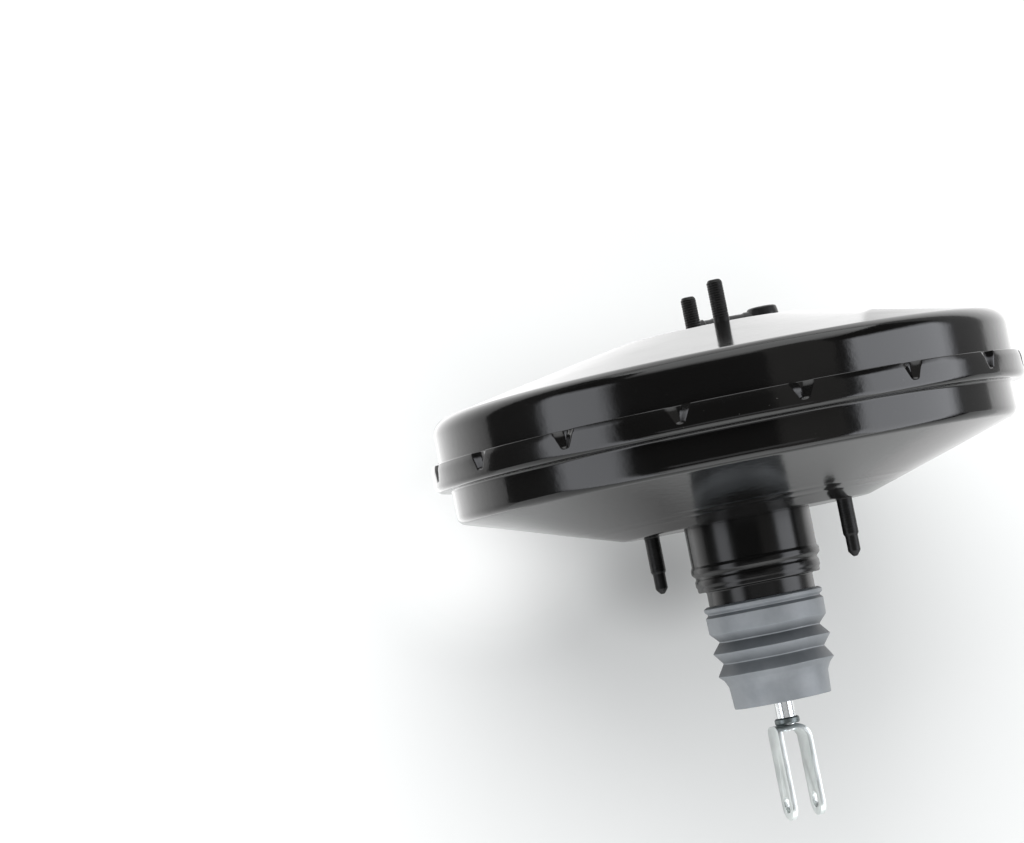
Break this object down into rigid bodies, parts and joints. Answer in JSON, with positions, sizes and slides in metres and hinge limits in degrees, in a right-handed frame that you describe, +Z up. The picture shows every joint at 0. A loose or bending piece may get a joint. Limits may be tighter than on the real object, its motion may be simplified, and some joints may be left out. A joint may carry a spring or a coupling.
{
  "type": "vacuum brake booster",
  "caption": "Round black vacuum brake booster with crimped two-part shell, threaded studs front and rear, grey bellows boot and a push rod ending in a clevis fork.",
  "frame": {"origin": "centre of the flat rear face that bears on the bulkhead, on the main axis, in the middle of the bulkhead studs", "axes": "+Y along the main axis towards the master cylinder, +Z up, +X along the clevis pin; the push rod points to -Y"},
  "size_m": [0.304, 0.273, 0.304],
  "materials": {
    "black_paint": "gloss black baked paint",
    "stud_black": "black coated steel thread",
    "boot_rubber": "matt grey moulded rubber",
    "black_rubber": "satin black rubber",
    "zinc_plate": "bright zinc plate",
    "spring_steel": "phosphated spring wire",
    "pressed_plate": "yellow passivated pressed steel",
    "phenolic": "dark moulded phenolic",
    "guide_plastic": "natural acetal",
    "valve_plastic": "black moulded nylon",
    "filter_foam": "open cell foam"
  },
  "bodies": {
    "housing": {"front_shell": "black_paint", "rear_shell": "black_paint", "neck_sleeve": "black_paint", "mc_studs": "stud_black", "bulkhead_studs": "stud_black", "front_stud_plate": "pressed_plate", "rear_stud_plate": "pressed_plate", "seal_retainer": "pressed_plate", "vacuum_grommet": "black_rubber", "neck_seal": "black_rubber", "diaphragm": "black_rubber", "vacuum_check_valve": "valve_plastic", "neck_bush": "guide_plastic", "dust_boot": "boot_rubber", "return_spring": "spring_steel"},
    "piston": {"valve_body": "phenolic", "diaphragm_plate": "pressed_plate", "reaction_disc": "black_rubber", "output_rod": "zinc_plate", "rod_retainer_ring": "spring_steel", "stop_key": "pressed_plate", "poppet_valve": "black_rubber", "poppet_retainer": "pressed_plate", "poppet_spring": "spring_steel", "rod_return_spring": "spring_steel", "air_filter": "filter_foam"},
    "plunger": {"valve_plunger": "zinc_plate"},
    "ball_cup": {"ball_seat": "guide_plastic"},
    "pushrod": {"input_rod": "zinc_plate", "rod_spring_seat": "pressed_plate", "fork_collar": "zinc_plate", "fork_bend": "zinc_plate", "fork_arm_left": "zinc_plate", "fork_arm_right": "zinc_plate"}
  },
  "joints": [
    {"name": "piston_slide", "type": "slide", "parent": "housing", "child": "piston", "axis": [0, 1, 0], "range_m": [0, 0.03], "stiffness_N_per_m": 2500, "springref_m": -0.04, "deforming": ["return_spring", "diaphragm", "dust_boot"]},
    {"name": "plunger_slide", "type": "slide", "parent": "piston", "child": "plunger", "axis": [0, 1, 0], "range_m": [0, 0.0025], "stiffness_N_per_m": 4000, "springref_m": -0.006, "deforming": ["rod_return_spring"]},
    {"name": "rod_tilt_x", "type": "hinge", "parent": "plunger", "child": "ball_cup", "pos_m": [0, -0.014, 0], "axis": [1, 0, 0], "range_deg": [-2, 2], "stiffness_Nm_per_rad": 8},
    {"name": "rod_tilt_z", "type": "hinge", "parent": "ball_cup", "child": "pushrod", "pos_m": [0, -0.014, 0], "axis": [0, 0, 1], "range_deg": [-2, 2], "stiffness_Nm_per_rad": 8}
  ]
}
